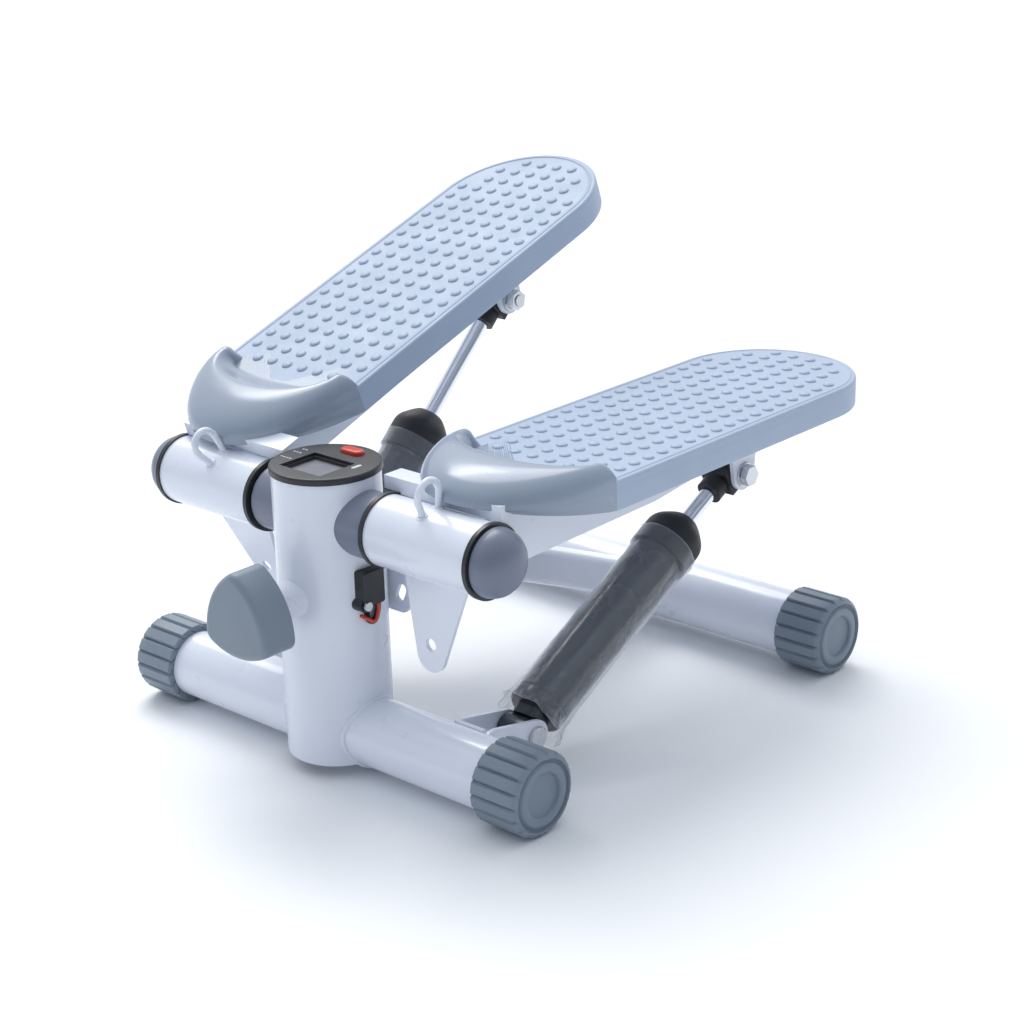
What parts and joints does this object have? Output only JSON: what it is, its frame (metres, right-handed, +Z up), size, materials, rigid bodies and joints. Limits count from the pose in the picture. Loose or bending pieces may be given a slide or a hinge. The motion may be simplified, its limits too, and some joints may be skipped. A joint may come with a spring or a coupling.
{
  "type": "mini stepper",
  "caption": "Mini stepper exercise machine: hinged footplates on a tubular base with dampers, a display post and an adjuster knob.",
  "frame": {"origin": "bottom centre of the bounding box, on the floor, with the left pedal up and the right pedal down", "axes": "+Z up, -Y towards the display post and knob, +Y towards the heels, +X to the user's right"},
  "size_m": [0.35, 0.4605, 0.3232],
  "materials": {
    "black_plastic": "satin",
    "black_rubber": "satin",
    "chrome": "polished",
    "circuit_board": "green laminate",
    "dark_paint": "gloss",
    "display_glass": "clear",
    "display_panel": "grey-green liquid crystal",
    "grey_plastic": "satin, slate grey",
    "mid_grey_plastic": "satin, mid grey",
    "red_plastic": "satin red",
    "steel": "turned",
    "tread_plastic": "satin, light blue-grey",
    "white_paint": "gloss",
    "zinc_steel": "zinc plated"
  },
  "bodies": {
    "base": {"battery_cell": "zinc_steel", "centre_beam": "white_paint", "circuit_board": "circuit_board", "computer_housing": "black_plastic", "damper_lower_pins": "zinc_steel", "display_panel": "display_panel", "display_post": "white_paint", "display_window": "display_glass", "front_base_tube": "white_paint", "front_left_end_cap": "grey_plastic", "front_right_end_cap": "grey_plastic", "knob_boss": "white_paint", "left_dome_cap": "mid_grey_plastic", "left_lower_bracket": "white_paint", "left_post_bush": "mid_grey_plastic", "pivot_axle": "zinc_steel", "rear_base_tube": "white_paint", "rear_left_end_cap": "grey_plastic", "rear_right_end_cap": "grey_plastic", "right_dome_cap": "mid_grey_plastic", "right_lower_bracket": "white_paint", "right_post_bush": "mid_grey_plastic", "rope_guide_plate": "white_paint", "sensor_housing": "black_plastic", "sensor_lead": "black_rubber", "sensor_screw": "zinc_steel", "sensor_signal_lead": "red_plastic"},
    "knob": {"adjustment_knob": "grey_plastic", "knob_spindle": "zinc_steel"},
    "start_button": {"start_button": "red_plastic"},
    "left_pedal": {"left_pivot_sleeve": "white_paint", "left_inner_bearing": "black_plastic", "left_outer_bearing": "black_plastic", "left_band_eyelet": "white_paint", "left_rope_lug": "white_paint", "left_pedal_tray": "white_paint", "left_footplate": "tread_plastic", "left_footplate_screws": "zinc_steel", "left_upper_bracket": "white_paint", "left_upper_bolt": "zinc_steel"},
    "left_damper_barrel": {"left_damper_cylinder": "dark_paint", "left_damper_boot": "black_rubber"},
    "left_damper_ram": {"left_damper_rod": "chrome", "left_damper_piston": "steel", "left_damper_rod_end": "black_rubber"},
    "right_pedal": {"right_pivot_sleeve": "white_paint", "right_inner_bearing": "black_plastic", "right_outer_bearing": "black_plastic", "right_band_eyelet": "white_paint", "right_rope_lug": "white_paint", "right_pedal_tray": "white_paint", "right_footplate": "tread_plastic", "right_footplate_screws": "zinc_steel", "right_upper_bracket": "white_paint", "right_upper_bolt": "zinc_steel"},
    "right_damper_barrel": {"right_damper_cylinder": "dark_paint", "right_damper_boot": "black_rubber"},
    "right_damper_ram": {"right_damper_rod": "chrome", "right_damper_piston": "steel", "right_damper_rod_end": "black_rubber"}
  },
  "joints": [
    {"name": "left_pedal_hinge", "type": "hinge", "parent": "base", "child": "left_pedal", "pos_m": [0, -0.14725, 0.1675], "axis": [1, 0, 0], "range_deg": [-19.3, 0]},
    {"name": "right_pedal_hinge", "type": "hinge", "parent": "base", "child": "right_pedal", "pos_m": [0, -0.14725, 0.1675], "axis": [1, 0, 0], "range_deg": [0, 19.3]},
    {"name": "left_damper_swing", "type": "hinge", "parent": "base", "child": "left_damper_barrel", "pos_m": [-0.1019, -0.08875, 0.026], "axis": [1, 0, 0], "range_deg": [-16.7, 0]},
    {"name": "right_damper_swing", "type": "hinge", "parent": "base", "child": "right_damper_barrel", "pos_m": [0.1019, -0.08875, 0.026], "axis": [1, 0, 0], "range_deg": [0, 16.7]},
    {"name": "left_damper_stroke", "type": "slide", "parent": "left_damper_barrel", "child": "left_damper_ram", "axis": [0, 0.7097, 0.7045], "range_m": [-0.0499, 0]},
    {"name": "right_damper_stroke", "type": "slide", "parent": "right_damper_barrel", "child": "right_damper_ram", "axis": [0, 0.8819, 0.4714], "range_m": [0, 0.0499]},
    {"name": "knob_turn", "type": "hinge", "parent": "base", "child": "knob", "pos_m": [0, -0.20575, 0.12], "axis": [0, 1, 0], "range_deg": [-180, 180]},
    {"name": "start_button_press", "type": "slide", "parent": "base", "child": "start_button", "axis": [0, 0, -1], "range_m": [0, 0.0015], "stiffness_N_per_m": 500}
  ],
  "couplings": [
    {"joint": "right_pedal_hinge", "follows": "left_pedal_hinge", "ratio": -1},
    {"joint": "left_damper_swing", "follows": "left_pedal_hinge", "ratio": 0.86347},
    {"joint": "right_damper_swing", "follows": "left_pedal_hinge", "ratio": -0.86347},
    {"joint": "left_damper_stroke", "follows": "left_pedal_hinge", "m_per_rad": 0.14791},
    {"joint": "right_damper_stroke", "follows": "left_pedal_hinge", "m_per_rad": -0.14791}
  ]
}
